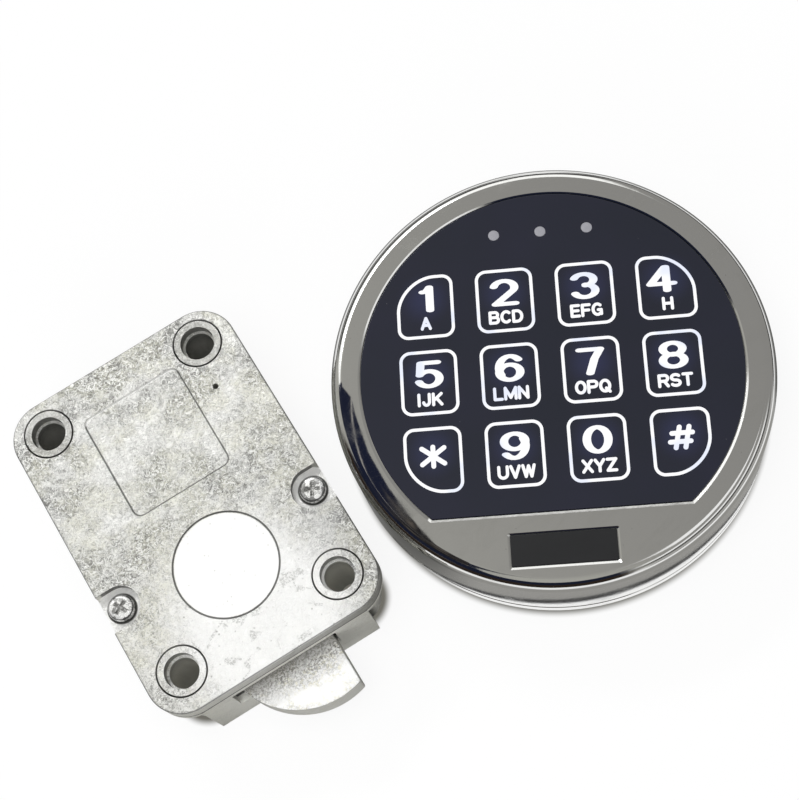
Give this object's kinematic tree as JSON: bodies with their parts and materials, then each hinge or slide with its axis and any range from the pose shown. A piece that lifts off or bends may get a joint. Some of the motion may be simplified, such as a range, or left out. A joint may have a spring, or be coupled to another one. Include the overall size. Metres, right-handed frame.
{
  "type": "electronic safe lock",
  "caption": "Swing-bolt safe lock body with a pivoting D-shaped bolt and solenoid, beside its round chromed touch keypad with lit keys.",
  "frame": {"origin": "centre of the lock body's four fixing holes, on its mounting face", "axes": "+Z out of the mounting face towards the cover, -Y towards the swing bolt, +X across the lock towards the keypad that lies beside it"},
  "size_m": [0.1692, 0.1121, 0.028],
  "materials": {
    "cast_zinc": "matt die-cast zinc, mottled",
    "bolt_metal": "fine-grained satin cast metal",
    "steel": "zinc-plated or plain steel",
    "copper": "enamelled copper wire",
    "green_board": "solder-masked board",
    "black_plastic": "moulded, fine texture",
    "dark_sleeve": "shrink sleeve",
    "base_metal": "chromed casting",
    "chrome": "bright chromed casting",
    "panel_black": "smooth gloss lens over dark print",
    "window_black": "smooth dark plate",
    "lens_grey": "milky grey",
    "clear_guide": "clear moulded",
    "light_white": "white lamp bodies",
    "cream_plastic": "moulded",
    "battery_can": "plain printed can, bare of marks"
  },
  "bodies": {
    "lock_and_base": {"lock_case": "cast_zinc", "case_cover": "cast_zinc", "cover_screws": "steel", "bolt_pivot_pin": "steel", "plate_springs": "steel", "solenoid_frame": "steel", "solenoid_bobbin": "black_plastic", "solenoid_winding": "copper", "solenoid_screws": "steel", "lock_circuit_board": "green_board", "lock_board_screws": "steel", "lock_processor": "black_plastic", "lock_capacitor": "dark_sleeve", "cable_socket": "black_plastic", "mounting_base": "base_metal"},
    "bolt": {"swing_bolt": "bolt_metal"},
    "lock_slide": {"locking_plate": "steel", "solenoid_plunger": "steel"},
    "keypad_head": {"keypad_housing": "chrome", "clamp_screws": "steel", "touch_panel": "panel_black", "window_inlay": "window_black", "indicator_lenses": "lens_grey", "light_guide": "clear_guide", "panel_lights": "light_white", "keypad_circuit_board": "green_board", "keypad_board_screws": "steel", "keypad_processor": "black_plastic", "sounder": "black_plastic", "cable_header": "cream_plastic", "battery": "battery_can", "battery_clip": "black_plastic", "battery_tray": "black_plastic"}
  },
  "joints": [
    {"name": "bolt_swing", "type": "hinge", "parent": "lock_and_base", "child": "bolt", "pos_m": [0.0068, -0.0368, 0.0159], "axis": [0, 0, -1], "range_deg": [0, 90], "stiffness_Nm_per_rad": 0.05},
    {"name": "plate_slide", "type": "slide", "parent": "lock_and_base", "child": "lock_slide", "axis": [0, 1, 0], "range_m": [0, 0.006], "deforming": ["plate_springs"]},
    {"name": "keypad_lift", "type": "slide", "parent": "lock_and_base", "child": "keypad_head", "axis": [0, 0, 1], "range_m": [0, 0.04]}
  ],
  "couplings": [
    {"joint": "plate_slide", "follows": "bolt_swing", "m_per_rad": 0.0038197}
  ]
}
